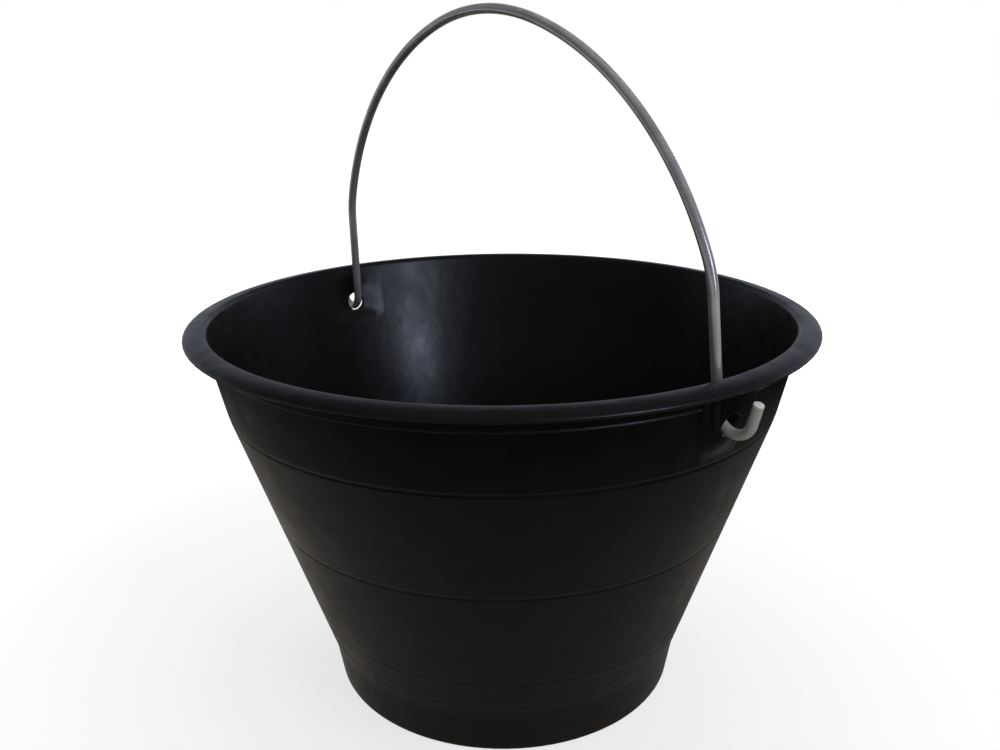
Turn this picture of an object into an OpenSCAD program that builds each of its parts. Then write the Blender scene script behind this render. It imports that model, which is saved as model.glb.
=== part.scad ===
// Feed bucket: a moulded plastic bucket carried by a bent steel wire bail.
//
// Frame: millimetres, +Z up. The origin is the centre of the foot ring, on the ground.
// The bail's two ends pass through holes that face each other along X, so the bail
// swings about an axis parallel to X.

/* [Bucket] */
// Diameter over the rim
rim_d = 350; // [320:1:420]
// Height from the ground to the top of the rim
bucket_h = 221; // [184:1:266]
// Outer diameter of the foot at the ground
base_d = 203; // [169:1:230]
// Thickness of the moulded wall
wall = 2.5; // [2:0.1:3]

/* [Foot] */
// Height of the steep band above the ground
foot_h = 25; // [15:1:35]
// How far the foot band leans out from the vertical, in degrees
foot_taper = 9.6; // [4:0.2:12]
// Radius that blends the foot band into the cone
foot_blend = 60; // [10:1:80]
// Radius of the outer bottom edge
edge_r = 3; // [1:0.5:4]
// Width of the ring that stands on the ground
ring_w = 9; // [6:0.5:14]
// How far the underside is raised inside that ring
ring_h = 3; // [1.5:0.5:5]
// Radius between the floor and the wall, inside
floor_fillet = 9; // [4:1:14]

/* [Wall rings] */
// Drop from the rim's top to the upper groove
upper_groove_drop = 45.4; // [43:0.2:60]
// Height between the two grooves
groove_pitch = 63.3; // [40:0.1:75]
// Height of a groove's mouth
groove_w = 2.8; // [1.5:0.1:4]
// Depth of a groove
groove_deep = 0.7; // [0.3:0.1:1.2]
// How far the wall above the upper groove leans out, in degrees
upper_taper = 12.5; // [11:0.1:16]
// Drop from the rim's top to the fine ridge below the rim
ridge_drop = 13; // [12:0.2:18]
// How far that ridge stands out
ridge_out = 0.6; // [0.3:0.1:1]

/* [Rim] */
// How far the rim's brim stands out past the wall below it
rim_overhang = 10.7; // [9:0.1:14]
// Height of the rim, from the bottom of its lip to its crown
rim_h = 4.8; // [4.6:0.1:6.4]
// Radius of the rim's inner edge
rim_round = 3; // [2:0.5:4]
// Radius where the outer wall turns out into the brim's underside
brim_round = 1.5; // [0.5:0.5:2]

/* [Ears] */
// Drop from the rim's top to the centre of the bail hole
hole_drop = 24.5; // [24:0.5:27]
// Diameter of the bail hole
hole_d = 12; // [11:0.5:13]
// Half widths of the ear's three steps at the bottom, from the largest
ear_half_w = [20, 13.4, 8.6];
// Reach of the three steps below the hole's centre
ear_below = [16, 11.6, 8.2];
// Radii of the three steps' bottom corners
ear_corner = [9, 8, 7.5];
// How far the sides of the steps lean in towards the bottom, in degrees
ear_side_lean = 4; // [0:0.5:8]
// How far the faces of the steps lean out from the vertical, in degrees
ear_taper = 9.4; // [7:0.2:11]
// How far each step stands out from the one before
ear_step = 1.1; // [0.8:0.05:1.4]

/* [Bail] */
// Diameter of the steel wire
wire_d = 5.2; // [4.4:0.1:6]
// Height of the crown's centre line above the swing axis
bail_rise = 188; // [157:1:226]
// Height of each straight leg above the swing axis
leg_h = 62; // [45:1:70]
// How far each leg leans inwards, in degrees
leg_lean = 4.2; // [1:0.1:6]
// Bend radius at the top of each leg
shoulder_r = 64; // [40:1:80]
// Lean at the end of that bend, in degrees
shoulder_end = 21; // [15:1:26]
// Lean where the long flank meets the crown's curve, in degrees
flank_end = 73; // [65:1:75]
// Bend radius of the hook
hook_r = 9.7; // [8.8:0.1:10.6]
// Depth of the hook's lowest point below the swing axis, on the centre line
hook_drop = 0.55; // [0:0.05:1]
// How far the hook's outer leg leans out past the slope at which it would touch the rim, in degrees
hook_lean = 7.3; // [1:0.1:10]
// Straight length of the hook's outer leg
hook_leg = 11.5; // [5:0.5:12]
// How far the bail leans from upright as it stands, in degrees
bail_lean = 3.5; // [0:0.5:10]

/* [Fit] */
// Gap between the wire and the bottom edge of its hole
hole_clear = 0.3; // [0.2:0.05:0.5]
// How far the leg's outer side stands into the ear's pocket, past the plain wall
leg_seat = 1.6; // [1:0.1:1.8]

/* [Hidden] */
$fn = 96;

// ---- helpers --------------------------------------------------------------------

// Flats that stand for a small corner, a wide blend and the rim's crown
corner_n = 6;
blend_n = 8;
crown_n = 10;
// Flats on each half of a groove or of the fine ridge
half_n = 4;

function unit(v) = v / norm(v);
// Points of an arc about c, from angle a0 to a1, in n steps
function arc(c, r, a0, a1, n) =
    [for (i = [0:n]) c + r * [cos(a0 + (a1 - a0) * i / n), sin(a0 + (a1 - a0) * i / n)]];
// The same of an ellipse whose half axes are a across and b up
function bow(c, a, b, a0, a1, n) = [for (p = arc([0, 0], 1, a0, a1, n)) c + [a * p[0], b * p[1]]];
// A path without its last point, where the next path starts
function but_last(path) = [for (i = [0:len(path) - 2]) path[i]];
// The arc of radius r, in n steps, that rounds the corner b of the path a, b, c
function rounded(a, b, c, r, n) =
    let (u = unit(a - b), v = unit(c - b), half = acos(u * v) / 2,
         centre = b + unit(u + v) * r / sin(half),
         p = b + u * r / tan(half) - centre, q = b + v * r / tan(half) - centre,
         start = atan2(p[1], p[0]), turn = atan2(p[0] * q[1] - p[1] * q[0], p * q))
    arc(centre, r, start, start + turn, n);

// ---- the bucket's outer wall ----------------------------------------------------

rim_r = rim_d / 2;
base_r = base_d / 2;
foot_r = base_r + foot_h * tan(foot_taper);
// Where the outer wall meets the underside of the rim
neck_z = bucket_h - rim_h;
neck_r = rim_r - rim_overhang;
upper_groove_z = bucket_h - upper_groove_drop;
lower_groove_z = upper_groove_z - groove_pitch;
ridge_z = bucket_h - ridge_drop;

// Outer radius at height z of the upper wall, which carries the ears
function upper_r(z) = neck_r - (neck_z - z) * tan(upper_taper);
cone_taper = atan((upper_r(upper_groove_z) - foot_r) / (upper_groove_z - foot_h));
// Outer radius at height z of the long cone below it
function cone_r(z) = foot_r + (z - foot_h) * tan(cone_taper);
function outer_r(z) = z > upper_groove_z ? upper_r(z) : cone_r(z);
// Radial thickness of the wall in the upper wall, the cone and the foot band
upper_t = wall / cos(upper_taper);
cone_t = wall / cos(cone_taper);
foot_t = wall / cos(foot_taper);

// A shallow groove with a round bottom, centred at height z
function groove(z) =
    [for (i = [-half_n:half_n]) let (h = z + groove_w / 2 * i / half_n)
        [outer_r(h) - groove_deep * (1 + cos(180 * i / half_n)) / 2, h]];
// A fine half-round ridge on the upper wall, centred at height z
function ridge(z) =
    [for (i = [-half_n:half_n]) let (t = i / half_n, h = z + ridge_out * t)
        [upper_r(h) + ridge_out * sqrt(1 - t * t), h]];

// ---- the bucket's section, up the outside, over the rim and down the inside ------

floor_z = ring_h + wall;
ring_in = base_r - edge_r - ring_w;
underside = [[0, ring_h], [ring_in - ring_h, ring_h], [ring_in, 0]];
foot_edge = [base_r, 0];
foot_top = [foot_r, foot_h];
foot = concat(
    rounded([ring_in, 0], foot_edge, foot_top, edge_r, corner_n),
    rounded(foot_edge, foot_top, [cone_r(lower_groove_z), lower_groove_z], foot_blend, blend_n));

// The rim: a brim one wall thick that bows down to a round lip
lip_r = wall / 2;
lip_z = neck_z + lip_r;
crown_z = bucket_h - rim_round;
crown_in = upper_r(crown_z) - upper_t + rim_round / cos(upper_taper);
under_z = bucket_h - wall;
under_half = (rim_r - wall - upper_r(under_z)) / 2;
rim = concat(
    rounded([upper_r(ridge_z), ridge_z], [upper_r(under_z), under_z], [rim_r, under_z],
        brim_round, corner_n),
    but_last(bow([rim_r - wall - under_half, lip_z], under_half, under_z - lip_z, 90, 0, corner_n)),
    but_last(arc([rim_r - lip_r, lip_z], lip_r, 180, 360, corner_n)),
    but_last(bow([crown_in, lip_z], rim_r - crown_in, bucket_h - lip_z, 0, 90, crown_n)),
    arc([crown_in, crown_z], rim_round, 90, 180 - upper_taper, corner_n));

in_shoulder = [cone_r(upper_groove_z) - cone_t, upper_groove_z];
in_foot = [foot_r - cone_t, foot_h];
in_floor = [base_r + floor_z * tan(foot_taper) - foot_t, floor_z];
inside = concat(
    [in_shoulder],
    rounded(in_shoulder, in_foot, in_floor, foot_blend, blend_n),
    rounded(in_foot, in_floor, [0, floor_z], floor_fillet, corner_n),
    [[0, floor_z]]);

// ---- the ears -------------------------------------------------------------------

hole_z = bucket_h - hole_drop;
ear_top = bucket_h - wall / 2;
ear_t = wall / cos(ear_taper);

// Outer radius of step k's face at height z. The first step runs out at the rim
function ear_r(k, z) = neck_r - (neck_z - z) * tan(ear_taper) + k * ear_step;

// Outline of step k as seen from outside, drawn in by inset
module ear_outline(k, inset) {
    low = hole_z - ear_below[k] + inset;
    half = ear_half_w[k] - inset;
    top_half = half + (ear_top - low) * tan(ear_side_lean);
    corner = ear_corner[k] - inset;
    polygon(concat(
        [[top_half, ear_top], [-top_half, ear_top]],
        rounded([-top_half, ear_top], [-half, low], [half, low], corner, blend_n),
        rounded([-half, low], [half, low], [top_half, ear_top], corner, blend_n)));
}

// The outline of step k, drawn in by inset, pushed out along X from the bucket's axis
module ear_prism(k, inset) {
    rotate([90, 0, 90]) linear_extrude(rim_r) ear_outline(k, inset);
}

// Step k, from the middle of the wall to its own outer face
module ear_pad(k) {
    low = hole_z - ear_below[k] - wall;
    intersection() {
        rotate_extrude() polygon([
            [upper_r(low) - wall / 2, low], [ear_r(k, low), low],
            [ear_r(k, ear_top), ear_top], [upper_r(ear_top) - wall / 2, ear_top]]);
        ear_prism(k, 0);
    }
}

// The pocket inside step k, one wall thickness behind its face, up to the rim
module ear_pocket(k) {
    low = hole_z - ear_below[k];
    intersection() {
        rotate_extrude() polygon([
            [base_r, low], [ear_r(k, low) - ear_t, low],
            [ear_r(k, neck_z) - ear_t, neck_z], [base_r, neck_z]]);
        ear_prism(k, wall);
    }
}

module bucket() {
    color("#1b1b1c") difference() {
        union() {
            rotate_extrude() polygon(concat(
                underside, foot, groove(lower_groove_z), groove(upper_groove_z),
                ridge(ridge_z), rim, inside));
            for (side = [0, 180], k = [0:2]) rotate([0, 0, side]) ear_pad(k);
        }
        for (side = [0, 180], k = [0:1]) rotate([0, 0, side]) ear_pocket(k);
        translate([0, 0, hole_z]) rotate([0, 90, 0])
            cylinder(d = hole_d, h = rim_d, center = true);
    }
}

// ---- the bail's path in its own plane: x across, y up from the swing axis --------

wire_r = wire_d / 2;
// How far the balls that tie the runs of wire together stand out of the wire
tie_swell = 0.02;
// The leg's centre line where it would cross the height of the swing axis
leg_x = upper_r(hole_z) - upper_t + leg_seat - wire_r;
hook_from_y = hook_r - hook_drop - hook_r * sin(leg_lean);
hook_from = [leg_x - hook_from_y * tan(leg_lean), hook_from_y];
hook_c = hook_from + hook_r * [cos(leg_lean), sin(leg_lean)];
// The wire's underside, below the swing axis, where it leaves the outermost step
hole_low = hole_z - hole_d / 2;
hook_x = ear_r(2, hole_low) - hook_c[0];
hook_under = hook_c[1] - sqrt(pow(hook_r + wire_r, 2) - hook_x * hook_x);
axis_z = hole_low + hole_clear - hook_under;
// The rim's lip as seen from the hook's centre, and the outer leg's lean that clears it
lip = [rim_r - lip_r, lip_z - axis_z] - hook_c;
touch_lean = acos((hook_r - wire_r - lip_r) / norm(lip)) - atan2(lip[1], lip[0]);
outer_lean = touch_lean + hook_lean;
hook_to = hook_c + hook_r * [cos(outer_lean), -sin(outer_lean)];

leg_to = [leg_x - leg_h * tan(leg_lean), leg_h];
shoulder_c = leg_to - shoulder_r * [cos(leg_lean), sin(leg_lean)];
flank_from = shoulder_c + shoulder_r * [cos(shoulder_end), sin(shoulder_end)];
// The flank and crown radii that close the path over the middle at the asked height:
// two equations, one for the width still to go and one for the height
gap = [flank_from[0], bail_rise - flank_from[1]];
across = [cos(shoulder_end) - cos(flank_end), cos(flank_end)];
up = [sin(flank_end) - sin(shoulder_end), 1 - sin(flank_end)];
scale_det = across[0] * up[1] - across[1] * up[0];
flank_r = (gap[0] * up[1] - gap[1] * across[1]) / scale_det;
crown_r = (gap[1] * across[0] - gap[0] * up[0]) / scale_det;
flank_c = flank_from - flank_r * [cos(shoulder_end), sin(shoulder_end)];
flank_to = flank_c + flank_r * [cos(flank_end), sin(flank_end)];
crown_c = [0, bail_rise - crown_r];

// A straight of wire between two points of the bail's plane
module straight(from, to) {
    run = to - from;
    translate([from[0], 0, from[1]]) rotate([0, atan2(run[0], run[1]), 0])
        cylinder(d = wire_d, h = norm(run));
}

// A bend of wire about c, counter-clockwise from angle a0 to a1
module bend(c, r, a0, a1) {
    translate([c[0], 0, c[1]]) rotate([90, 0, 0]) mirror([0, 0, 1]) rotate([0, 0, a0])
        rotate_extrude(angle = a1 - a0) translate([r, 0]) circle(d = wire_d);
}

// The ball of wire that ties two neighbouring runs of wire together at point p
module tie(p) {
    translate([p[0], 0, p[1]]) sphere(d = wire_d + 2 * tie_swell);
}

// One side of the bail, from the hook's cut end up to the crown's curve
module bail_side() {
    for (p = [hook_to, hook_from, leg_to, flank_from, flank_to]) tie(p);
    straight(hook_to, hook_to + hook_leg * [sin(outer_lean), cos(outer_lean)]);
    bend(hook_c, hook_r, 180 + leg_lean, 360 - outer_lean);
    straight(hook_from, leg_to);
    bend(shoulder_c, shoulder_r, leg_lean, shoulder_end);
    bend(flank_c, flank_r, shoulder_end, flank_end);
}

module bail() {
    color("#a9abad") translate([0, 0, axis_z]) rotate([bail_lean, 0, 0]) {
        bail_side();
        mirror([1, 0, 0]) bail_side();
        bend(crown_c, crown_r, flank_end, 180 - flank_end);
    }
}

bucket();
bail();
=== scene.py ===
"""Feed bucket: a moulded black plastic pail carried by a bail of drawn steel wire.

Sizes in the classes are millimetres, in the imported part's own frame: +Z up, the
origin in the middle of the foot ring, the two bail holes facing each other along X.
Meshes are turned into metres when they are made.
"""

from __future__ import annotations

import logging
import math
from dataclasses import dataclass, field
from enum import Enum
from typing import Any, Callable

import bpy
import numpy as np
from mathutils import Matrix, Vector

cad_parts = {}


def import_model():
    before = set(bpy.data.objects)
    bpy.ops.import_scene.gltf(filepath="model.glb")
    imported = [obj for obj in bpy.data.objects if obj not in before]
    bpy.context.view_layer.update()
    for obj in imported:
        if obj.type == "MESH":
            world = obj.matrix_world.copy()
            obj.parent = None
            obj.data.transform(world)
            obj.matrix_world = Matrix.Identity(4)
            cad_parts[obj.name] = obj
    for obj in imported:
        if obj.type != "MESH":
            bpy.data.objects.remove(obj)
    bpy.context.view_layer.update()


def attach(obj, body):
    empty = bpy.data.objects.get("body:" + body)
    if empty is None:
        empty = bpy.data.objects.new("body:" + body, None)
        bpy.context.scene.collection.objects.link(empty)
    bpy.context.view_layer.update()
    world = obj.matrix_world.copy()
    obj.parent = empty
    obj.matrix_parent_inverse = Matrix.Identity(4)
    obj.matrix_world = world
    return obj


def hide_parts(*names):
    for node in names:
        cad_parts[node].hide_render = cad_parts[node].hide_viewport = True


LOG = logging.getLogger("feed_bucket")
MM = 0.001
# Settings that many nodes share
COLOUR = {"data_type": "RGBA"}
SUM_UP = {"operation": "MULTIPLY_ADD"}

Array = np.ndarray


# ---- colours, nodes and meshes ------------------------------------------------------


def srgb(colour: str) -> tuple[float, float, float, float]:
    """Turn a colour written as sRGB hex into the linear values that shaders take.

    Args:
        colour: the colour, such as "#0e0e0f".

    Returns:
        Linear red, green, blue and an alpha of 1.
    """
    parts = [int(colour[i : i + 2], 16) / 255 for i in (1, 3, 5)]
    red, green, blue = (
        c / 12.92 if c <= 0.04045 else ((c + 0.055) / 1.055) ** 2.4 for c in parts
    )
    return red, green, blue, 1.0


def add(
    tree: bpy.types.NodeTree,
    kind: str,
    settings: dict[str, Any] | None = None,
    **sockets: Any,
) -> bpy.types.Node:
    """Add one node, with its settings, its fixed socket values and its links.

    Args:
        tree: the node tree that takes the node.
        kind: Blender's name for the kind of node, after its ShaderNode.
        settings: the node's own properties, by name.
        **sockets: what each input gets: a value, a node, for its first output, or one
            output of a node. An input's name is written in lower case with
            underscores, or i and its number.

    Returns:
        The new node.
    """
    node = tree.nodes.new("ShaderNode" + kind)
    for name, value in (settings or {}).items():
        setattr(node, name, value)
    named = {s.name.lower().replace(" ", "_"): s for s in reversed(node.inputs)}
    for name, value in sockets.items():
        numbered = name[0] == "i" and name[1:].isdigit()
        socket = node.inputs[int(name[1:])] if numbered else named[name]
        if isinstance(value, bpy.types.Node):
            value = value.outputs[0]
        if isinstance(value, bpy.types.NodeSocket):
            tree.links.new(value, socket)
        else:
            socket.default_value = value
    return node


@dataclass(frozen=True)
class Fade:
    """A level that runs evenly from one value to another along a stretch."""

    start: float
    stop: float
    first: float = 0.0
    last: float = 1.0

    def ends(self) -> dict[str, float]:
        """Give the stretch and the levels at its ends as numbered node inputs."""
        return {"i1": self.start, "i2": self.stop, "i3": self.first, "i4": self.last}


def new_material(name: str) -> tuple[bpy.types.Material, bpy.types.NodeTree]:
    """Make an empty node material and return it with its tree."""
    material = bpy.data.materials.new(name)
    material.use_nodes = True
    material.node_tree.nodes.clear()
    return material, material.node_tree


def new_piece(name: str, points: Array, faces: list[Array]) -> bpy.types.Object:
    """Make a smooth-shaded mesh object at the origin.

    Args:
        name: the piece's name.
        points: its vertices in millimetres, one row each.
        faces: arrays of vertex numbers, one row to a face, triangles or quads.

    Returns:
        The new object, in the scene.
    """
    mesh = bpy.data.meshes.new(name)
    corners = np.concatenate([f.ravel() for f in faces]).astype(np.int32)
    sizes = np.concatenate([np.full(len(f), f.shape[1]) for f in faces])
    starts = np.concatenate([[0], np.cumsum(sizes)[:-1]]).astype(np.int32)
    mesh.vertices.add(len(points))
    mesh.vertices.foreach_set("co", (points * MM).astype(np.float32).ravel())
    mesh.loops.add(len(corners))
    mesh.loops.foreach_set("vertex_index", corners)
    mesh.polygons.add(len(sizes))
    mesh.polygons.foreach_set("loop_start", starts)
    mesh.polygons.foreach_set("use_smooth", np.ones(len(sizes), bool))
    mesh.update(calc_edges=True)
    mesh.validate()
    piece = bpy.data.objects.new(name, mesh)
    bpy.context.scene.collection.objects.link(piece)
    return piece


def smooth_step(low: float, high: float, x: Array) -> Array:
    """Rise from 0 at low to 1 at high, level at both ends: t squared times 3 - 2t."""
    t = np.clip((x - low) / (high - low), 0, 1)
    return t * t * (3 - 2 * t)


def quads(lower: Array, upper: Array) -> Array:
    """Join two rows of vertex numbers into quads, going round from each to the next."""
    corners = [lower[:-1], lower[1:], upper[1:], upper[:-1]]
    return np.stack(corners, axis=-1).reshape(-1, 4)


def arc(cx: float, cy: float, r: float, a0: float, a1: float, n: int) -> Array:
    """Points of an arc: the centre plus r (cos a, sin a), a from a0 to a1 degrees."""
    a = np.radians(np.linspace(a0, a1, n + 1))
    return np.stack([cx + r * np.cos(a), cy + r * np.sin(a)], axis=-1)


def bow(
    cx: float, cy: float, half: tuple[float, float], a0: float, a1: float, n: int
) -> Array:
    """Points of an ellipse's arc: a unit arc, times the half axes across and up."""
    return arc(0, 0, 1, a0, a1, n) * half + [cx, cy]


def fillet(a: Array, b: Array, c: Array, r: float, n: int) -> Array:
    """Round the corner b of the path a, b, c.

    The centre lies on the bisector of the corner at r over the sine of half its angle,
    and the arc runs between the two points where it touches the path's sides.

    Args:
        a: the point before the corner.
        b: the corner.
        c: the point after it.
        r: the radius.
        n: the number of steps.

    Returns:
        The arc's points.
    """
    a, b, c = (np.asarray(p, float) for p in (a, b, c))
    u, v = (a - b) / np.linalg.norm(a - b), (c - b) / np.linalg.norm(c - b)
    half = math.acos(float(u @ v)) / 2
    centre = b + (u + v) / np.linalg.norm(u + v) * r / math.sin(half)
    p, q = b + u * r / math.tan(half) - centre, b + v * r / math.tan(half) - centre
    start = math.atan2(p[1], p[0])
    turn = math.atan2(p[0] * q[1] - p[1] * q[0], float(p @ q))
    return arc(*centre, r, math.degrees(start), math.degrees(start + turn), n)


# ---- finishes -----------------------------------------------------------------------


@dataclass(frozen=True)
class MouldedPolyolefin:
    """Black polypropylene, injection-moulded in a turned steel mould.

    The eye sees a deep neutral black with a satin skin. Its broad soft reflections are
    wavy where the wall shrank, cloudy where it cooled unevenly, and crossed by the
    faint rings that the lathe left in the mould.
    """

    name: str = "moulded_black_polypropylene"
    black: str = "#0a0a0b"
    warm_black: str = "#0e0d0c"
    ior: float = 1.49
    # Clouds as wide as a hand and patches as wide as a thumb change the gloss
    cloud_mm: float = 55.0
    patch_mm: float = 13.0
    patch_share: float = 0.7
    roughness: Fade = Fade(0.59, 1.19, 0.25, 0.39)
    # The lathe's feed is about 0.2 mm. It is drawn coarser, so that it shows
    ring_mm: float = 1.7
    ring_deep_mm: float = 0.005
    ring_share: float = 0.08
    ring_harsh: float = 0.6
    # The mould's own grain, of about 0.05 mm, drawn coarser too
    grain_mm: float = 0.55
    grain_deep_mm: float = 0.004
    # The waves of the shrunk skin
    sag_mm: float = 15.0
    sag_deep_mm: float = 0.35

    def make(self) -> bpy.types.Material:
        """Build the material and return it."""
        material, tree = new_material(self.name)
        place = add(tree, "TexCoord").outputs["Object"]
        lumps = (
            (self.cloud_mm, 3),
            (self.patch_mm, 1),
            (self.sag_mm, 2),
            (self.grain_mm, 2),
        )
        cloud, patch, sag, grain = (
            add(tree, "TexNoise", vector=place, scale=1 / (size * MM), detail=detail)
            for size, detail in lumps
        )
        # Rings: noise that changes with the height only
        rings = add(
            tree,
            "TexNoise",
            {"noise_dimensions": "1D"},
            w=add(tree, "SeparateXYZ", vector=place).outputs["Z"],
            scale=1 / (self.ring_mm * MM),
            detail=3,
            roughness=self.ring_harsh,
        )
        black, warm = srgb(self.black), srgb(self.warm_black)
        colour = add(tree, "Mix", COLOUR, i0=cloud, i6=black, i7=warm).outputs[2]
        gloss = add(tree, "Math", SUM_UP, i0=rings, i1=self.ring_share, i2=cloud)
        gloss = add(tree, "Math", SUM_UP, i0=patch, i1=self.patch_share, i2=gloss)
        rough = add(tree, "MapRange", value=gloss, **self.roughness.ends())

        relief = (
            (sag, self.sag_deep_mm),
            (rings, self.ring_deep_mm),
            (grain, self.grain_deep_mm),
        )
        under: dict[str, Any] = {}
        for height, deep_mm in relief:
            deep = deep_mm * MM
            bump = add(tree, "Bump", strength=1, distance=deep, height=height, **under)
            under = {"normal": bump}
        satin = {"roughness": rough, "ior": self.ior, **under}
        skin = add(tree, "BsdfPrincipled", base_color=colour, **satin)
        add(tree, "OutputMaterial", surface=skin)
        return material


@dataclass(frozen=True)
class DrawnSteel:
    """Mild steel wire pulled through a die, left bare.

    The eye sees grey metal with long streaks along the wire, where the die scored it,
    and duller hooks, where it was bent round a tool and rubs in its holes. The hooks
    are
    also paler: partly scraped metal, partly painted light for the light that falls on
    them.
    """

    name: str = "drawn_steel_wire"
    light: str = "#d3d3d1"
    dark: str = "#909193"
    # The hooks' pale tone: scraped metal with painted light in it
    scraped_and_lit: str = "#f4efe0"
    # Die lines are about 0.1 mm apart and are drawn coarser, so that they show
    streak_mm: float = 0.45
    streak_long_mm: float = 60.0
    streak_deep_mm: float = 0.02
    blotch_mm: float = 14.0
    blotch_share: float = 0.35
    mottle: Fade = Fade(0.35, 0.65)
    roughness: Fade = Fade(0.3, 0.7, 0.26, 0.16)
    bare: float = 0.64
    # The hooks are the part of the wire that stands outside the ears
    hook: Fade = Fade(157 * MM, 164 * MM)
    hook_pale: float = 0.6
    hook_dull: float = 0.28
    hook_bare: float = 0.5

    def make(self) -> bpy.types.Material:
        """Build the material and return it. Its streaks follow the wire's own map."""
        material, tree = new_material(self.name)
        along = add(tree, "UVMap", {"uv_map": "along_wire"})
        close = (1 / (self.streak_mm * MM), 1 / (self.streak_long_mm * MM), 1)
        stretched = add(tree, "Mapping", vector=along, scale=close)
        streak = add(tree, "TexNoise", vector=stretched, scale=1, detail=4)
        place = add(tree, "TexCoord").outputs["Object"]
        scale = 1 / (self.blotch_mm * MM)
        blotch = add(tree, "TexNoise", vector=place, scale=scale, detail=3)
        both = add(tree, "Mix", i0=self.blotch_share, i2=streak, i3=blotch)

        share = add(tree, "MapRange", value=both, **self.mottle.ends())
        dark, light = srgb(self.dark), srgb(self.light)
        drawn = add(tree, "Mix", COLOUR, i0=share, i6=dark, i7=light).outputs[2]
        across = add(tree, "SeparateXYZ", vector=place).outputs["X"]
        outwards = add(tree, "Math", {"operation": "ABSOLUTE"}, i0=across)
        hook = add(tree, "MapRange", value=outwards, **self.hook.ends())
        # Painted light: the hooks are mixed towards a pale tone, partly for scraping
        # and partly for the light that falls on them
        pale = add(tree, "Math", {"operation": "MULTIPLY"}, i0=hook, i1=self.hook_pale)
        scraped_and_lit = srgb(self.scraped_and_lit)
        colour = add(tree, "Mix", COLOUR, i0=pale, i6=drawn, i7=scraped_and_lit).outputs[2]
        # A dull scraped skin scatters more light than the drawn one, which mirrors it
        rough = add(tree, "MapRange", value=both, **self.roughness.ends())
        rough = add(tree, "Math", SUM_UP, i0=hook, i1=self.hook_dull, i2=rough)
        less = self.hook_bare - self.bare
        bare = add(tree, "Math", SUM_UP, i0=hook, i1=less, i2=self.bare)

        deep = self.streak_deep_mm * MM
        skin = add(
            tree,
            "BsdfPrincipled",
            base_color=colour,
            metallic=bare,
            roughness=rough,
            normal=add(tree, "Bump", strength=1, distance=deep, height=streak),
        )
        add(tree, "OutputMaterial", surface=skin)
        return material


@dataclass(frozen=True)
class ShearedSteel:
    """The end of the same wire where a shear cut it: brighter, dull and finely torn."""

    name: str = "sheared_steel_end"
    bright: str = "#f4f4f2"
    dull: str = "#c9c9c7"
    roughness: float = 0.42
    bare: float = 0.55
    tear_mm: float = 0.5
    tear_deep_mm: float = 0.05

    def make(self) -> bpy.types.Material:
        """Build the material and return it."""
        material, tree = new_material(self.name)
        place = add(tree, "TexCoord").outputs["Object"]
        scale, deep = 1 / (self.tear_mm * MM), self.tear_deep_mm * MM
        tear = add(tree, "TexNoise", vector=place, scale=scale, detail=2)
        dull, bright = srgb(self.dull), srgb(self.bright)
        skin = add(
            tree,
            "BsdfPrincipled",
            base_color=add(tree, "Mix", COLOUR, i0=tear, i6=dull, i7=bright).outputs[2],
            metallic=self.bare,
            roughness=self.roughness,
            normal=add(tree, "Bump", strength=1, distance=deep, height=tear),
        )
        add(tree, "OutputMaterial", surface=skin)
        return material


# ---- the bucket ---------------------------------------------------------------------


class Skin(Enum):
    """Which face of the shell a row of the bucket's section belongs to."""

    PLAIN = 0
    OUTER = 1
    INNER = 2


@dataclass
class Ear:
    """One side's stepped ear, with the round hole that carries the bail."""

    half_w: tuple[float, ...] = (20.0, 13.4, 8.6)
    below: tuple[float, ...] = (13.5, 10.6, 8.2)
    corner: tuple[float, ...] = (9.0, 8.0, 7.5)
    side_lean: float = 4.0
    taper: float = 9.4
    step: float = 1.1
    # Half the width over which a step's edge falls away, at its sides and its bottom,
    # outside and in the pockets inside, and how many of the steps have a pocket
    soft_out: tuple[float, float] = (0.9, 6.0)
    soft_in: tuple[float, float] = (6.0, 6.0)
    pockets: int = 2
    hole_z: float = 196.5
    hole_r: float = 6.0
    hole_round: float = 0.5

    def cover(
        self, k: int, y: Array, z: Array, inset: float, soft: tuple[float, float]
    ) -> Array:
        """Say how far each point is covered by step k, from 0 outside to 1 inside.

        The outline is a box open at the top, with leaning sides and round bottom
        corners. Its signed distance comes from the distances past the side and past the
        bottom, and the cover falls softly from 1 to 0 across the outline.

        Args:
            k: the step, 0 for the largest.
            y: distance sideways from the hole's middle.
            z: height above the ground.
            inset: how far the outline is drawn in.
            soft: half the width of the fall, at the sides and at the bottom.

        Returns:
            The cover, in the shape of y.
        """
        low = self.hole_z - self.below[k] + inset
        half, r = self.half_w[k] - inset, self.corner[k] - inset
        lean = math.radians(self.side_lean)
        side = (np.abs(y) - half - (z - low) * math.tan(lean)) * math.cos(lean) + r
        bottom = (low - z) * soft[0] / soft[1] + r
        away = np.hypot(np.maximum(side, 0), np.maximum(bottom, 0))
        distance = away + np.minimum(np.maximum(side, bottom), 0) - r
        return 1 - smooth_step(-soft[0], soft[0], distance)


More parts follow.
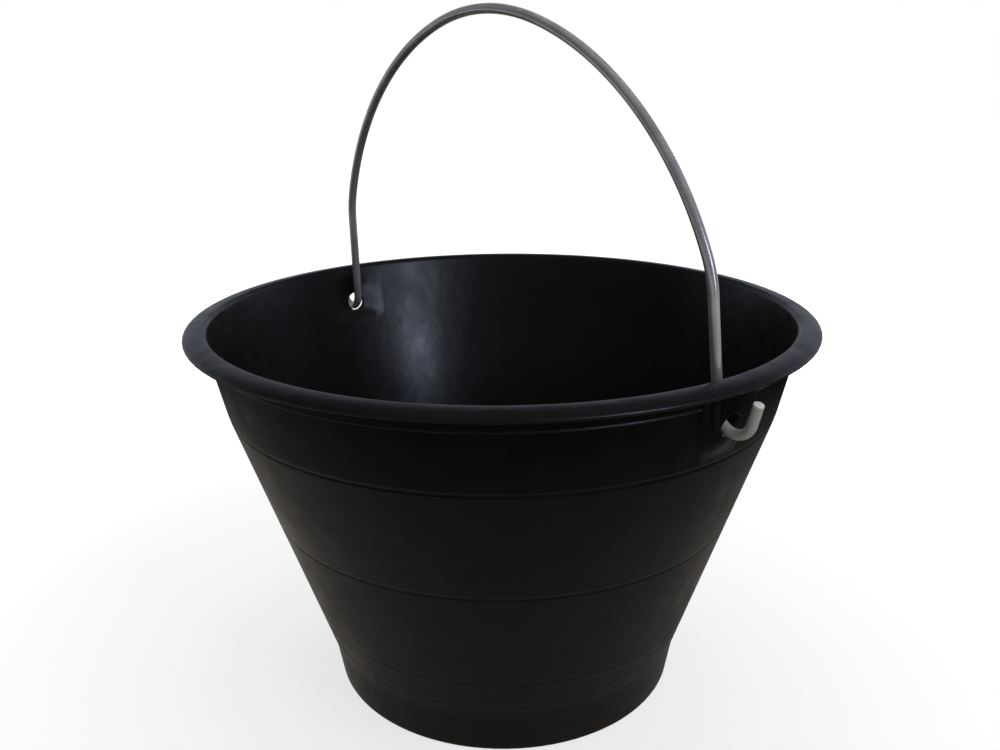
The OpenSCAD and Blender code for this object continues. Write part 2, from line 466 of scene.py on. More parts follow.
@dataclass(frozen=True)
class Steps:
    """How finely the bucket's grid is drawn, in millimetres unless said otherwise."""

    foot: float = 2.2
    ripple: float = 1.0
    plain: float = 4.0
    inside: float = 5.2
    groove_half: float = 2.2
    groove_rows: int = 12
    ear_row: float = 0.58
    pocket_row: float = 0.6
    # Columns: across half an ear, then, in degrees, across the flow line, and the
    # number on each side's plain wall, with the gap in degrees left beside the ears
    ear_half: float = 22.5
    ear_column: float = 0.56
    seam_column: float = 0.30
    seam_margin: float = 1.0
    seam_gap: float = 0.6
    plain_columns: int = 44
    plain_gap: float = 1.6
    # Half the block of the grid that the rings round a hole take the place of, the
    # space kept between it and its neighbours, and the number of lines across it
    block_y: float = 7.2
    block_z: float = 7.5
    block_gap: float = 0.4
    block_lines: int = 17
    # Where the rings lie between the hole (0) and the block's edge (1), and how far, in
    # degrees, the hole's rounded edge has turned at each of the next
    ring_shares: tuple[float, ...] = (0.55, 0.2, 0.0)
    edge_turns: tuple[float, ...] = (30, 60, 90)


@dataclass
class Bucket:
    """The moulded pail: foot band, ringed cone, stepped ears and thin brim."""

    rim_d: float = 350.0
    height: float = 221.0
    base_d: float = 203.0
    wall: float = 2.5
    foot_h: float = 25.0
    foot_taper: float = 9.6
    foot_blend: float = 60.0
    edge_r: float = 3.0
    ring_w: float = 9.0
    ring_h: float = 3.0
    ring_root_r: float = 1.5
    ring_toe_r: float = 1.0
    floor_fillet: float = 9.0
    shoulder_blend: float = 420.0
    groove_drop: float = 45.4
    groove_pitch: float = 63.3
    groove_w: float = 3.2
    groove_deep: float = 0.30
    upper_taper: float = 12.5
    ridge_drop: float = 13.0
    ridge_out: float = 0.4
    rim_overhang: float = 10.7
    rim_h: float = 4.8
    rim_round: float = 3.0
    brim_round: float = 1.5
    ripple_pitch: float = 5.6
    ripple_out: float = 0.11
    ripple_low: float = 24.0
    ripple_high: float = 78.0
    # The inner wall's unevenness, and the heights where it sets in and where it ends
    sway: float = 0.10
    sway_skew: float = 1.3
    sway_from: tuple[float, float] = (12.0, 40.0)
    sway_to: tuple[float, float] = (200.0, 216.0)
    # The pockets close towards these two heights, from the neck
    roof_from: float = -11.0
    roof_to: float = 1.2
    # The flow line, and how far above the lower groove it starts to fade and ends
    seam_turn: float = -50.0
    seam_drift: float = 19.0
    seam_fade: float = 60.0
    seam_deep: float = 0.2
    seam_w: float = 1.3
    seam_end: tuple[float, float] = (4.0, 30.0)
    steps: Steps = Steps()
    ear: Ear = field(default_factory=Ear)
    finish: MouldedPolyolefin = field(default_factory=MouldedPolyolefin)

    def __post_init__(self) -> None:
        """Work out the heights and radii that follow from the sizes."""
        self.rim_r, self.base_r = self.rim_d / 2, self.base_d / 2
        self.foot_r = self.base_r + self.foot_h * self._tan(self.foot_taper)
        self.neck_z = self.height - self.rim_h
        self.neck_r = self.rim_r - self.rim_overhang
        self.upper_z = self.height - self.groove_drop
        self.lower_z = self.upper_z - self.groove_pitch
        self.ridge_z = self.height - self.ridge_drop
        self.lip_r = self.wall / 2
        self.lip_z, self.under_z = self.neck_z + self.lip_r, self.height - self.wall
        cone_out = float(self.upper_r(self.upper_z)) - self.foot_r
        self.cone_slope = cone_out / (self.upper_z - self.foot_h)
        self.upper_t = self.wall / math.cos(math.radians(self.upper_taper))
        self.cone_t = self.wall * math.hypot(1, self.cone_slope)
        self.foot_t = self.wall / math.cos(math.radians(self.foot_taper))
        self.ear_t = self.wall / math.cos(math.radians(self.ear.taper))
        self.floor_z = self.ring_h + self.wall

    @staticmethod
    def _tan(degrees: float) -> float:
        """Tangent of an angle in degrees."""
        return math.tan(math.radians(degrees))

    def upper_r(self, z: Array | float) -> Array | float:
        """Outer radius of the upper wall: the neck's, less the drop times its slope."""
        return self.neck_r - (self.neck_z - z) * self._tan(self.upper_taper)

    def ear_r(self, k: int, z: Array) -> Array:
        """Outer radius of ear step k, which leans out less than the wall does."""
        out = self.neck_r - (self.neck_z - z) * self._tan(self.ear.taper)
        return out + k * self.ear.step

    # The section is one closed path in radius and height: from the middle of the
    # underside, out and up the wall, over the rim, down the inside, to the floor's
    # middle. Each stretch is sampled as finely as its shape needs.

    def section(self) -> tuple[Array, Array, Array]:
        """Work out the bucket's section.

        Returns:
            The rows' radii, their heights, and each row's Skin as a number.
        """
        makers = (self._underside, self._outside, self._under_brim, self._brim)
        stretches = [make() for make in (*makers, self._inside)]
        rows = np.concatenate([path for path, _ in stretches])
        skins = np.concatenate([np.full(len(p), s.value) for p, s in stretches])
        return rows[:, 0], rows[:, 1], skins

    def _underside(self) -> tuple[Array, Skin]:
        """The raised underside and the foot ring, up to the bottom edge's round."""
        ring_in = self.base_r - self.edge_r - self.ring_w
        inner = [ring_in - self.ring_h, self.ring_h]
        toe_at, base = [ring_in, 0], [self.base_r, 0]
        root = fillet([0, self.ring_h], inner, toe_at, self.ring_root_r, 3)
        toe = fillet(inner, toe_at, base, self.ring_toe_r, 3)
        edge = fillet(toe_at, base, [self.foot_r, self.foot_h], self.edge_r, 7)
        disc = np.linspace([6, self.ring_h], [inner[0] - 4, self.ring_h], 5)
        return np.concatenate([disc, root, toe, edge]), Skin.PLAIN

    def _outside(self) -> tuple[Array, Skin]:
        """The outer wall from the foot band to the brim, as radius by height."""
        hole, steps = self.ear.hole_z, self.steps
        groove = np.linspace(-steps.groove_half, steps.groove_half, steps.groove_rows)
        block = np.linspace(-steps.block_z, steps.block_z, steps.block_lines)
        block_low = hole - steps.block_z - steps.block_gap
        z = np.concatenate(
            [
                np.arange(4.2, 17.0, steps.foot),
                np.arange(17.0, self.ripple_high + 3, steps.ripple),
                np.arange(self.ripple_high + 4.5, self.lower_z - 2.6, steps.plain),
                self.lower_z + groove,
                np.arange(self.lower_z + 4, self.upper_z - 2.6, steps.plain),
                self.upper_z + groove,
                np.arange(self.upper_z + 2.75, block_low, steps.ear_row),
                hole + block,
                hole + np.array([8.4, 9.2]),
                self.ridge_z + np.linspace(-0.9, 0.9, 11),
                self.ridge_z + np.array([1.6, 3.0, 4.8, 6.6, 8.2]),
            ]
        )
        knee = [self.foot_r, self.foot_h]
        above = [self.foot_r + 100 * self.cone_slope, self.foot_h + 100]
        bend = fillet([self.base_r, 0], knee, above, self.foot_blend, 16)
        high = np.array([self.upper_z, self.under_z])
        path_z = np.concatenate([[0.0], bend[:, 1], high])
        path_r = np.concatenate([[self.base_r], bend[:, 0], self.upper_r(high)])
        return np.stack([np.interp(z, path_z, path_r), z], axis=-1), Skin.OUTER

    def _under_brim(self) -> tuple[Array, Skin]:
        """The brim's underside, from the wall to the lip. The ears run up into it."""
        ridge = [float(self.upper_r(self.ridge_z)), self.ridge_z]
        wall_r = float(self.upper_r(self.under_z))
        root, tip = [wall_r, self.under_z], [self.rim_r, self.under_z]
        turn = fillet(ridge, root, tip, self.brim_round, 6)
        half = (self.rim_r - self.wall - wall_r) / 2
        reach = (half, self.under_z - self.lip_z)
        down = bow(self.rim_r - self.wall - half, self.lip_z, reach, 90, 0, 7)
        return np.concatenate([turn, down[:-1]]), Skin.OUTER

    def _brim(self) -> tuple[Array, Skin]:
        """The lip's round end, the brim's bowed top and the rim's inner edge."""
        crown_z = self.height - self.rim_round
        lean = math.radians(self.upper_taper)
        crown_in = float(self.upper_r(crown_z)) - self.upper_t
        crown_in += self.rim_round / math.cos(lean)
        reach = (self.rim_r - crown_in, self.height - self.lip_z)
        path = [
            arc(self.rim_r - self.lip_r, self.lip_z, self.lip_r, 180, 360, 8)[:-1],
            bow(crown_in, self.lip_z, reach, 0, 90, 16)[:-1],
            arc(crown_in, crown_z, self.rim_round, 90, 180 - self.upper_taper, 10),
        ]
        return np.concatenate(path), Skin.PLAIN

    def _inside(self) -> tuple[Array, Skin]:
        """The inner wall from under the crown to the floor's middle."""
        hole, steps = self.ear.hole_z, self.steps
        shoulder = [float(self.upper_r(self.upper_z)) - self.cone_t, self.upper_z]
        knee = [self.foot_r - self.cone_t, self.foot_h]
        corner_r = self.base_r + self.floor_z * self._tan(self.foot_taper) - self.foot_t
        corner = [corner_r, self.floor_z]
        bend = fillet(shoulder, knee, corner, self.foot_blend, 12)
        heel = fillet(knee, corner, [0, self.floor_z], self.floor_fillet, 9)
        z = np.concatenate(
            [
                self.neck_z + np.array([1.8, *np.linspace(1.2, -2.6, 9)]),
                self.neck_z - np.array([3.8, 5.6, 7.6, 9.4, 11.0]),
                hole + np.linspace(steps.block_z, -steps.block_z, steps.block_lines),
                np.arange(hole - 8.0, hole - 14.6, -steps.pocket_row),
                hole - np.array([15.5, 17.1, 18.9]),
                np.arange(self.upper_z, 40, -steps.inside),
                np.linspace(38, heel[0, 1] + 1.5, 9),
            ]
        )
        top = [float(self.upper_r(self.height)) - self.upper_t, self.height]
        blend = fillet(top, shoulder, knee, self.shoulder_blend, 12)
        path = np.concatenate([heel[:1], bend[::-1], blend[::-1], [top]])
        wall = np.stack([np.interp(z, path[:, 1], path[:, 0]), z], axis=-1)
        floor = np.linspace([heel[-1, 0] - 6, self.floor_z], [8, self.floor_z], 6)
        return np.concatenate([wall, heel, floor]), Skin.INNER

    def columns(self) -> Array:
        """Choose the turns, in degrees from +X, at which the section is repeated.

        They are close together across each ear and across the flow line.

        Returns:
            The turns in rising order.
        """
        steps = self.steps
        per_mm = math.degrees(1 / self.upper_r(self.ear.hole_z))
        block = np.linspace(-steps.block_y, steps.block_y, steps.block_lines)
        beside = np.arange(
            steps.ear_half, steps.block_y + steps.block_gap, -steps.ear_column
        )
        ear = np.concatenate([-beside, block, beside[::-1]]) * per_mm
        edge = ear.max() + steps.plain_gap
        between = 180 - 2 * edge
        plain = np.arange(edge, 180 - edge + 1e-6, between / steps.plain_columns)
        turns = np.concatenate([ear, plain, ear + 180, plain + 180])
        top = self.lower_z + self.seam_end[1]
        low, high = np.degrees(self.seam(np.array([0.0, top]))) % 360
        margin = steps.seam_margin
        fine = np.arange(low - margin, high + margin, steps.seam_column)
        turns = turns % 360
        gap = steps.seam_gap
        turns = turns[(turns < fine[0] - gap) | (turns > fine[-1] + gap)]
        return np.sort(np.concatenate([turns, fine]))

    def seam(self, z: Array) -> Array:
        """Turn of the flow line in radians: it drifts aside, faster the lower it is."""
        drift = self.seam_drift * np.exp(-z / self.seam_fade)
        return np.radians(self.seam_turn - drift)

    @staticmethod
    def _aside(turn: Array, r: Array) -> Array:
        """Distance sideways from the middle of the ear on the same side."""
        return np.sin(np.where(np.cos(turn) > 0, turn, turn - np.pi)) * r

    def ripples(self, turn: Array, z: Array) -> Array:
        """The rings low on the cone: a wave in height whose pitch and size drift."""
        inside = smooth_step(self.ripple_low - 5, self.ripple_low + 3, z)
        inside = inside * (1 - smooth_step(self.ripple_high - 22, self.ripple_high, z))
        phase = 2 * np.pi * (z - self.ripple_low) / self.ripple_pitch
        drift = 1.1 * np.sin(0.23 * z) + 0.6 * np.sin(0.57 * z + 0.5 * np.sin(turn))
        size = 0.62 + 0.23 * np.sin(0.39 * z + 1.0) + 0.15 * np.sin(2 * turn + 0.3 * z)
        return self.ripple_out * inside * size * np.sin(phase + drift)

    def swell(self, turn: Array, z: Array, skew: float) -> Array:
        """Slow unevenness of a cooled moulding: a few waves round it and up it."""
        a = 3 * turn + skew + 0.021 * z
        b = 7 * turn - 2 * skew - 0.043 * z
        c = 13 * turn + 0.9 * skew + 0.062 * z
        return self.sway * (0.5 * np.sin(a) + 0.3 * np.sin(b) + 0.2 * np.sin(c))

    def _outer(self, turn: Array, r: Array, z: Array) -> Array:
        """Give the outer radius with grooves, ridge, ripples, flow line and ears."""
        out = r.copy()
        for middle in (self.upper_z, self.lower_z):
            t = np.clip((z - middle) / (self.groove_w / 2), -1, 1)
            out -= self.groove_deep * (1 + np.cos(np.pi * t)) / 2
        t = np.clip((z - self.ridge_z) / self.ridge_out, -1, 1)
        wall = np.where(z < self.neck_z + 2, 1.0, 0.0)
        out += self.ridge_out * np.sqrt(1 - t * t) * wall
        out += self.ripples(turn, z) * wall
        aside = (turn - self.seam(z) + np.pi) % (2 * np.pi) - np.pi
        fade, end = (self.lower_z + up for up in self.seam_end)
        seam_low = 1 - smooth_step(fade, end, z)
        dent = np.exp(-((aside * r / (self.seam_w / 2)) ** 2))
        out -= self.seam_deep * dent * seam_low * wall
        # The ears stand on the wall and run up under the brim
        y = self._aside(turn, r)
        roof = self.height - self.wall / 2
        for k in range(len(self.ear.half_w)):
            cover = self.ear.cover(k, y, z, 0.0, self.ear.soft_out) * (z < roof)
            out += cover * np.maximum(self.ear_r(k, z) - out, 0)
        return out

    def _inner(self, turn: Array, r: Array, z: Array) -> Array:
        """Give the inner radius with its unevenness and the ears' pockets."""
        even = smooth_step(*self.sway_from, z) * (1 - smooth_step(*self.sway_to, z))
        out = r + self.swell(turn, z, self.sway_skew) * even
        y = self._aside(turn, r)
        low, high = self.neck_z + self.roof_from, self.neck_z + self.roof_to
        roofed = 1 - smooth_step(low, high, z)
        inset = self.wall + self.ear.soft_in[0] / 2
        for k in range(self.ear.pockets):
            cover = self.ear.cover(k, y, z, inset, self.ear.soft_in) * roofed
            out += cover * np.maximum(self.ear_r(k, z) - self.ear_t - out, 0)
        return out

    def surface(self, turn: Array, r: Array, z: Array, skin: Array) -> Array:
        """Place points of the shell.

        Args:
            turn: angle from +X in radians.
            r: the plain section's radius.
            z: height.
            skin: each point's Skin, as a number.

        Returns:
            The points, one row each.
        """
        radius = np.where(skin == Skin.OUTER.value, self._outer(turn, r, z), r)
        inner = self._inner(turn, r, z)
        radius = np.where(skin == Skin.INNER.value, inner, radius)
        return np.stack([radius * np.cos(turn), radius * np.sin(turn), z], axis=-1)

    def build(self) -> bpy.types.Object:
        """Build the whole pail as one closed shell.

        The section's rows and the chosen turns make a grid. Where an ear's hole goes
        through, a block of the grid on the outer and on the inner wall is left out, and
        rings that change from the block's edge to the hole's circle take its place,
        joined through the wall.

        Returns:
            The bucket's object.
        """
        r, z, skin = self.section()
        turns = np.radians(self.columns())
        rows, cols = len(r), len(turns)
        grid = [np.broadcast_to(turns, (rows, cols))]
        grid += [np.repeat(v[:, None], cols, axis=1) for v in (r, z, skin)]
        points = [self.surface(*grid).reshape(-1, 3)]
        index = np.arange(rows * cols).reshape(rows, cols)
        ahead = np.roll(index, -1, axis=1)
        cells = np.stack([index[:-1], ahead[:-1], ahead[1:], index[1:]], axis=-1)
        keep = np.ones((rows - 1, cols), bool)
        faces: list[Array] = []
        count = rows * cols

        hole = self.ear.hole_z
        spare = self.steps.block_gap / 4
        block_y = self.steps.block_y + spare
        beside = np.abs(z - hole) < self.steps.block_z + spare
        for side, facing in ((1.0, 0.0), (-1.0, math.pi)):
            away = (turns - facing + math.pi) % (2 * math.pi) - math.pi
            near = np.argsort(away)
            across = near[np.abs(np.sort(away) * self.upper_r(hole)) < block_y]
            rims = []
            for layer in (Skin.OUTER, Skin.INNER):
                up = np.flatnonzero((skin == layer.value) & beside)
                up = up if layer is Skin.OUTER else up[::-1]
                keep[np.ix_(np.arange(up.min(), up.max()), across[:-1])] = False
                block = index[np.ix_(up, across)]
                border = np.concatenate(
                    [block[0, :-1], block[:-1, -1], block[-1, :0:-1], block[:0:-1, 0]]
                )
                made = [border]
                for ring in self._hole_rings(points[0][border], layer, side):
                    points.append(ring)
                    made.append(np.arange(count, count + len(border)))
                    count += len(border)
                rims.append([np.append(ring, ring[0]) for ring in made])
            outer, inner = rims
            faces += [quads(a, b) for a, b in zip(outer[:-1], outer[1:])]
            faces += [quads(a, b)[:, ::-1] for a, b in zip(inner[:-1], inner[1:])]
            faces.append(quads(outer[-1], inner[-1]))

        faces.insert(0, cells[keep])
        # Two fans close the shell, at the middles of the underside and of the floor
        points.append(np.array([[0, 0, z[0]], [0, 0, z[-1]]]))
        under, floor = np.full(cols, count), np.full(cols, count + 1)
        faces.append(np.stack([under, ahead[0], index[0]], axis=-1))
        faces.append(np.stack([floor, index[-1], ahead[-1]], axis=-1))
        piece = new_piece("bucket_shell", np.concatenate(points), faces)
        piece.data.materials.append(self.finish.make())
        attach(piece, "bucket")
        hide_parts("bucket")
        made = len(piece.data.polygons)
        LOG.info("bucket_shell: %d rows, %d columns, %d faces", rows, cols, made)
        return piece

    def _hole_rings(self, border: Array, layer: Skin, side: float) -> list[Array]:
        """Work out the rings from the edge of a left-out block to the bore.

        Args:
            border: the points of the block's edge, in order.
            layer: the face of the wall that they lie on.
            side: 1 for the ear at +X, -1 for the one at -X.

        Returns:
            The points of each ring. The last one lies on the bore.
        """
        hole, edge = self.ear.hole_z, self.ear.hole_round
        lip = self.ear.hole_r + edge
        y, z = border[:, 1], border[:, 2] - hole
        reach = np.hypot(y, z)
        rings = []
        for share in self.steps.ring_shares:
            k = (lip + (reach - lip) * share) / reach
            rings.append(self._face_ring(y * k, z * k + hole, layer, side))
        # The hole's rounded edge turns from the wall's face into the bore
        inwards = -side if layer is Skin.OUTER else side
        for turn in map(math.radians, self.steps.edge_turns):
            k = (lip - edge * math.sin(turn)) / reach
            ring = self._face_ring(y * k, z * k + hole, layer, side)
            ring[:, 0] += inwards * edge * (1 - math.cos(turn))
            rings.append(ring)
        return rings

    def _face_ring(self, y: Array, z: Array, layer: Skin, side: float) -> Array:
        """Points of the ear's outer face or of its soft pocket, above given y and z."""
        outer = layer is Skin.OUTER
        plain = self.upper_r(z) - (0.0 if outer else self.upper_t)
        turn = np.arctan2(y, side * np.sqrt(plain**2 - y**2))
        shape = self._outer if outer else self._inner
        x = np.sqrt(shape(turn, plain, z) ** 2 - y**2)
        return np.stack([side * x, y, z], axis=-1)


# ---- the bail -----------------------------------------------------------------------


@dataclass
class Bail:
    """The hoop of wire: crown, flanks, straight legs, and a hook at each end."""

    wire_d: float = 5.2
    rise: float = 188.0
    leg_h: float = 62.0
    leg_lean: float = 4.2
    shoulder_r: float = 64.0
    shoulder_end: float = 21.0
    flank_end: float = 73.0
    hook_r: float = 9.7
    hook_drop: float = 0.55
    hook_lean: float = 7.3
    hook_leg: float = 11.5
    lean: float = 3.5
    hole_clear: float = 0.3
    leg_seat: float = 1.6
    sides: int = 28
    step: float = 1.1
    chamfer: float = 0.35
    finish: DrawnSteel = field(default_factory=DrawnSteel)
    cut: ShearedSteel = field(default_factory=ShearedSteel)

    @staticmethod
    def _of_degrees(ratio: Callable[[float], float]) -> Callable[[float], float]:
        """Turn a ratio of an angle in radians into one of an angle in degrees."""
        return lambda angle: ratio(math.radians(angle))

    def path(self, bucket: Bucket) -> tuple[Array, float]:
        """Work out one side of the wire's middle line, in the hoop's own plane.

        From the hook's cut end it runs down the outer leg, round the hook, up the
        straight leg, and round the shoulder, the flank and the crown. Two equations,
        for the width and the height still to go, give the last two radii.

        Args:
            bucket: the pail that the hooks go through.

        Returns:
            The points, x across and y up from the swing axis, and the axis's height.
        """
        tan, cos, sin = (self._of_degrees(f) for f in (math.tan, math.cos, math.sin))
        wire_r = self.wire_d / 2
        hole = bucket.ear.hole_z
        leg_x = float(bucket.upper_r(hole)) - bucket.upper_t + self.leg_seat - wire_r
        from_y = self.hook_r - self.hook_drop - self.hook_r * sin(self.leg_lean)
        hook_from = np.array([leg_x - from_y * tan(self.leg_lean), from_y])
        turned = np.array([cos(self.leg_lean), sin(self.leg_lean)])
        hook_c = hook_from + self.hook_r * turned
        low = hole - bucket.ear.hole_r
        hook_x = float(bucket.ear_r(2, np.array(low))) - hook_c[0]
        under = hook_c[1] - math.sqrt((self.hook_r + wire_r) ** 2 - hook_x**2)
        axis_z = low + self.hole_clear - under
        lip = np.array([bucket.rim_r - bucket.lip_r, bucket.lip_z - axis_z]) - hook_c
        touch = math.acos((self.hook_r - wire_r - bucket.lip_r) / np.linalg.norm(lip))
        outer = math.degrees(touch - math.atan2(lip[1], lip[0])) + self.hook_lean
        hook_to = hook_c + self.hook_r * np.array([cos(outer), -sin(outer)])
        tip = hook_to + self.hook_leg * np.array([sin(outer), cos(outer)])

        leg_to = np.array([leg_x - self.leg_h * tan(self.leg_lean), self.leg_h])
        shoulder_c = leg_to - self.shoulder_r * turned
        out = np.array([cos(self.shoulder_end), sin(self.shoulder_end)])
        flank_from = shoulder_c + self.shoulder_r * out
        ca, sa = out
        cb, sb = cos(self.flank_end), sin(self.flank_end)
        flank_r, crown_r = np.linalg.solve(
            [[ca - cb, cb], [sb - sa, 1 - sb]],
            [flank_from[0], self.rise - flank_from[1]],
        )
        flank_c = flank_from - flank_r * out

        def bend(c: Array, r: float, a0: float, a1: float) -> Array:
            """An arc about c with a point every step or so."""
            n = max(4, round(abs(math.radians(a1 - a0)) * r / self.step))
            return arc(c[0], c[1], r, a0, a1, n)

        def run(a: Array, b: Array) -> Array:
            """A straight from a to b with a point every step or so."""
            return np.linspace(a, b, max(2, round(np.linalg.norm(b - a) / self.step)))

        stretches = [
            run(tip, hook_to),
            bend(hook_c, self.hook_r, 360 - outer, 180 + self.leg_lean),
            run(hook_from, leg_to),
            bend(shoulder_c, self.shoulder_r, self.leg_lean, self.shoulder_end),
            bend(flank_c, flank_r, self.shoulder_end, self.flank_end),
            bend(np.array([0, self.rise - crown_r]), crown_r, self.flank_end, 90),
        ]
        line = np.concatenate([s[:-1] for s in stretches] + [stretches[-1][-1:]])
        return line, axis_z

    def build(self, bucket: Bucket) -> bpy.types.Object:
        """Carry a circle along the wire's middle line and close its cut ends.

        Args:
            bucket: the pail that the hooks go through.

        Returns:
            The bail's object.
        """
        half, axis_z = self.path(bucket)
        line = np.concatenate([half, (half * [-1, 1])[-2::-1]])
        tangent = np.gradient(line, axis=0)
        tangent /= np.linalg.norm(tangent, axis=1)[:, None]
        normal = np.stack([-tangent[:, 1], tangent[:, 0]], axis=-1)
        strides = np.linalg.norm(np.diff(line, axis=0), axis=1)
        length = np.concatenate([[0], np.cumsum(strides)])
        # Each cut end has a small chamfer: the last ring is a little smaller
        last = len(line) - 1
        pick = np.array([0, 0, *range(1, last), last, last])
        line, length = line[pick], length[pick]
        tangent, normal = tangent[pick], normal[pick]
        radius = np.full(len(line), self.wire_d / 2)
        radius[[0, -1]] -= self.chamfer
        for ring, way in ((1, 1), (-2, -1)):
            line[ring] += tangent[ring] * self.chamfer * way
            length[ring] += self.chamfer * way

        around = np.linspace(0, 2 * np.pi, self.sides, endpoint=False)
        c, s = np.cos(around)[None, :, None], np.sin(around)[None, :, None]
        flat, across = (np.insert(v, 1, 0.0, axis=1) for v in (line, normal))
        depth = np.array([0.0, 1.0, 0.0])
        ring = radius[:, None, None] * (c * across[:, None, :] + s * depth)
        points = (flat[:, None, :] + ring).reshape(-1, 3)
        points = np.concatenate([points, flat[[0, -1]]])
        a = math.radians(self.lean)
        tilt = np.array(
            [[1, 0, 0], [0, math.cos(a), -math.sin(a)], [0, math.sin(a), math.cos(a)]]
        )
        points = points @ tilt.T + [0, 0, axis_z]

        rows = len(line)
        index = np.arange(rows * self.sides).reshape(rows, self.sides)
        ahead = np.roll(index, -1, axis=1)
        tube = np.stack([index[:-1], index[1:], ahead[1:], ahead[:-1]], axis=-1)
        first, last = rows * self.sides, rows * self.sides + 1
        caps = [
            np.stack([np.full(self.sides, first), index[0], ahead[0]], axis=-1),
            np.stack([np.full(self.sides, last), ahead[-1], index[-1]], axis=-1),
        ]
        piece = new_piece("bail_wire_hoop", points, [tube.reshape(-1, 4), *caps])
        self._lay_map(piece, length)
        for finish in (self.finish, self.cut):
            piece.data.materials.append(finish.make())
        slots = np.zeros(len(piece.data.polygons), np.int32)
        slots[-2 * self.sides :] = 1
        piece.data.polygons.foreach_set("material_index", slots)
        piece.data.polygons.foreach_set("use_smooth", slots == 0)
        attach(piece, "bail")
        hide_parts("bail")
        LOG.info("bail_wire_hoop: %d rings, %d faces", rows, len(slots))
        return piece

    def _lay_map(self, piece: bpy.types.Object, length: Array) -> None:
        """Give the wire a map in metres: u round it, v along it.

        Args:
            piece: the wire.
            length: how far along the wire each ring is, in millimetres.
        """
        layer = piece.data.uv_layers.new(name="along_wire")
        step = math.pi * self.wire_d / self.sides
        u, v = np.arange(self.sides) * step, length[:, None]
        corners = ((u, v[:-1]), (u, v[1:]), (u + step, v[1:]), (u + step, v[:-1]))
        pairs = [np.stack(np.broadcast_arrays(*corner), -1) for corner in corners]
        tube = np.stack(pairs, axis=2).reshape(-1, 2)
        spare = np.zeros((len(piece.data.loops) - len(tube), 2))
        uv = np.concatenate([tube, spare]) * MM
        layer.data.foreach_set("uv", uv.astype(np.float32).ravel())


# ---- the studio ---------------------------------------------------------------------


@dataclass(frozen=True)
class Softbox:
    """A flat lamp, aimed at a point."""

    name: str
    place: tuple[float, float, float]
    aim: tuple[float, float, float]
    size: tuple[float, float]
    power: float
    colour: str = "#ffffff"
    mirrored: bool = True

    def build(self) -> None:
        """Hang the lamp."""
        lamp = bpy.data.lights.new(self.name, "AREA")
        lamp.shape = "RECTANGLE"
        lamp.size, lamp.size_y = self.size
        lamp.energy = self.power
        lamp.color = srgb(self.colour)[:3]
        piece = bpy.data.objects.new(self.name, lamp)
        bpy.context.scene.collection.objects.link(piece)
        piece.visible_glossy = self.mirrored
        piece.location = self.place
        look = Vector(self.aim) - Vector(self.place)
        piece.rotation_euler = look.to_track_quat("-Z", "Y").to_euler()


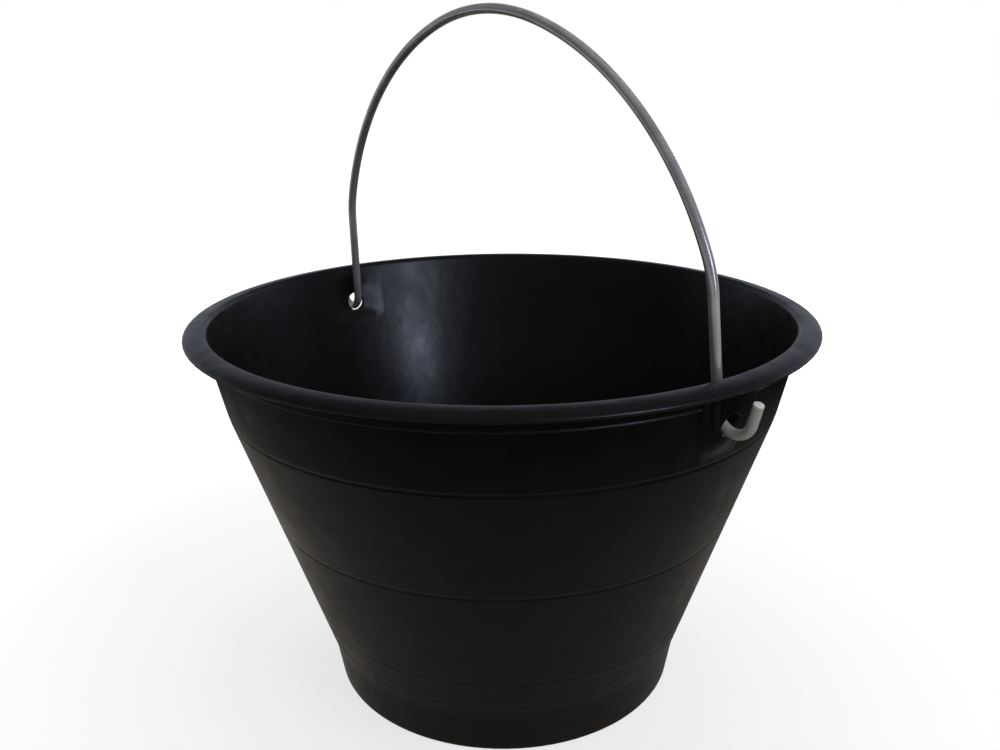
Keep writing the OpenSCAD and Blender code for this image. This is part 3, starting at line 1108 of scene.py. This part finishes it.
@dataclass
class Studio:
    """Camera, floor, world and lamps. Lengths here are metres."""

    # The camera: its turn from -Y and its rise, in degrees, and its distance
    turn: float = 50.4
    rise: float = 17.86
    distance: float = 0.5664
    aim: tuple[float, float, float] = (0.0, 0.0, 0.1811)
    lens: float = 34.93
    sensor: float = 36.0
    clip: tuple[float, float] = (0.01, 50.0)
    roll: float = -0.5
    yaw: float = 0.13
    # The floor as the camera sees it: matt, and glowing white away from the object
    floor_half_mm: float = 6000.0
    floor_grey: str = "#8a8a8a"
    shade: Fade = Fade(0.30, 0.75, 0.72, 1.0)
    # The floor as the gloss mirrors it: a glow with a painted pool of light, painted
    # shade close to the object and a brighter painted ring far off
    pool: tuple[float, float, float] = (-0.145, 0.05, 0.0)
    pool_tint: str = "#fff6ec"
    pool_light: Fade = Fade(0.11, 0.52, 0.36, 0.0)
    contact: Fade = Fade(0.10, 0.22, 0.65, 1.0)
    far: Fade = Fade(0.65, 1.3, 0.0, 0.5)
    # The room: even light, and dim walls for the gloss, with two brighter places
    room: float = 0.35
    wall_light: float = 0.085
    wall_lean: float = 0.045
    wall_tint: str = "#e4eaff"
    behind: tuple[float, float, float] = (-0.777, 0.629, 0.0)
    behind_light: Fade = Fade(0.0, 0.55, 0.0, 0.42)
    behind_high: Fade = Fade(0.28, 0.62, 1.0, 0.0)
    pane: tuple[float, float, float] = (0.99, 0.05, 0.13)
    pane_light: Fade = Fade(0.90, 1.0, 0.0, 0.95)
    lamps: tuple[Softbox, ...] = (
        Softbox(
            "window",
            (2.5, 0.20, 0.75),
            (-0.15, 0.04, 0.17),
            (0.18, 1.3),
            9.5,
            "#cfdfff",
        ),
        Softbox(
            "side", (1.36, 0.36, 1.41), (0, 0, 0.2), (1.2, 1.2), 14, "#f2f6ff", False
        ),
        Softbox(
            "overhead", (-0.4, 0.3, 2.2), (0, 0, 0.1), (2.4, 2.4), 45, mirrored=False
        ),
    )

    def build(self) -> None:
        """Set up everything round the object."""
        self._camera()
        self._floor()
        self._world()
        for lamp in self.lamps:
            lamp.build()
        bpy.context.scene.view_settings.view_transform = "Standard"

    def _camera(self) -> None:
        """Place the camera at the wanted angle round the object."""
        camera = bpy.data.cameras.new("camera")
        camera.lens, camera.sensor_width = self.lens, self.sensor
        camera.clip_start, camera.clip_end = self.clip
        piece = bpy.data.objects.new("camera", camera)
        bpy.context.scene.collection.objects.link(piece)
        a, e = math.radians(self.turn), math.radians(self.rise)
        level = math.cos(e)
        back = Vector((math.sin(a) * level, -math.cos(a) * level, math.sin(e)))
        look = (-back).to_track_quat("-Z", "Y").to_matrix().to_4x4()
        yaw = Matrix.Rotation(math.radians(self.yaw), 4, "Y")
        roll = Matrix.Rotation(math.radians(self.roll), 4, "Z")
        place = Matrix.Translation(Vector(self.aim) + back * self.distance)
        piece.matrix_world = place @ look @ (yaw @ roll)
        bpy.context.scene.camera = piece

    def _floor(self) -> None:
        """Lay a wide pale floor that shows white and keeps the object's shadow."""
        unit = np.array([[-1, -1, 0], [1, -1, 0], [1, 1, 0], [-1, 1, 0]])
        square = [np.array([[0, 1, 2, 3]])]
        floor = new_piece("floor", unit * self.floor_half_mm, square)
        material, tree = new_material("matt_painted_floor")
        ray = add(tree, "LightPath").outputs
        place = add(tree, "TexCoord").outputs["Object"]
        gauge = {"operation": "DISTANCE"}
        near = add(tree, "VectorMath", gauge, i0=place, i1=(0, 0, 0)).outputs["Value"]
        lit = add(tree, "VectorMath", gauge, i0=place, i1=self.pool).outputs["Value"]
        matt = add(tree, "BsdfDiffuse", color=srgb(self.floor_grey))
        # Shown white, with the object's soft shadow close to it
        glow = add(tree, "MapRange", value=near, **self.shade.ends())
        white = add(tree, "Emission", strength=glow)
        shown = add(tree, "AddShader", i0=matt, i1=white)
        # Mirrored as a dim glowing floor: a painted pool of light behind the object,
        # painted shade close to its foot and a brighter painted ring far off
        pool = add(tree, "MapRange", value=lit, **self.pool_light.ends())
        contact = add(tree, "MapRange", value=near, **self.contact.ends())
        far = add(tree, "MapRange", value=near, **self.far.ends())
        dim = add(tree, "Math", SUM_UP, i0=pool, i1=contact, i2=far)
        mirrored = add(tree, "Emission", color=srgb(self.pool_tint), strength=dim)
        seen, glossy = ray["Is Camera Ray"], ray["Is Glossy Ray"]
        both = add(tree, "MixShader", i0=seen, i1=matt, i2=shown)
        both = add(tree, "MixShader", i0=glossy, i1=both, i2=mirrored)
        add(tree, "OutputMaterial", surface=both)
        floor.data.materials.append(material)

    def _world(self) -> None:
        """Fill the room with a low even light, behind a background that shows white."""
        world = bpy.data.worlds.new("room")
        bpy.context.scene.world = world
        world.use_nodes = True
        tree = world.node_tree
        tree.nodes.clear()
        ray = add(tree, "LightPath").outputs
        way = add(tree, "TexCoord").outputs["Object"]
        x, _, z = add(tree, "SeparateXYZ", vector=way).outputs
        # Mirrored: walls that lighten towards +X, and two places that are brighter,
        # one low behind the object and one where the window is
        toward = {"operation": "DOT_PRODUCT"}
        wall = add(tree, "Math", SUM_UP, i0=x, i1=self.wall_lean, i2=self.wall_light)
        back = add(tree, "VectorMath", toward, i0=way, i1=self.behind).outputs["Value"]
        back = add(tree, "MapRange", value=back, **self.behind_light.ends())
        low = add(tree, "MapRange", value=z, **self.behind_high.ends())
        light = add(tree, "Math", SUM_UP, i0=back, i1=low, i2=wall)
        pane = add(tree, "VectorMath", toward, i0=way, i1=self.pane).outputs["Value"]
        pane = add(tree, "MapRange", value=pane, **self.pane_light.ends())
        light = add(tree, "Math", {"operation": "ADD"}, i0=light, i1=pane)
        tint = srgb(self.wall_tint)
        mirrored = add(tree, "Background", color=tint, strength=light)
        even = add(tree, "Background", strength=self.room)
        white = add(tree, "Background", color=srgb("#ffffff"), strength=1)
        seen, glossy = ray["Is Camera Ray"], ray["Is Glossy Ray"]
        both = add(tree, "MixShader", i0=glossy, i1=even, i2=mirrored)
        both = add(tree, "MixShader", i0=seen, i1=both, i2=white)
        add(tree, "OutputWorld", surface=both)


def main() -> None:
    """Load the frame, build the pail and its bail, and light them."""
    logging.basicConfig(level=logging.INFO, format="%(name)s: %(message)s")
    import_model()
    Studio().build()
    bucket = Bucket()
    bucket.build()
    Bail().build(bucket)


if __name__ == "__main__":
    main()
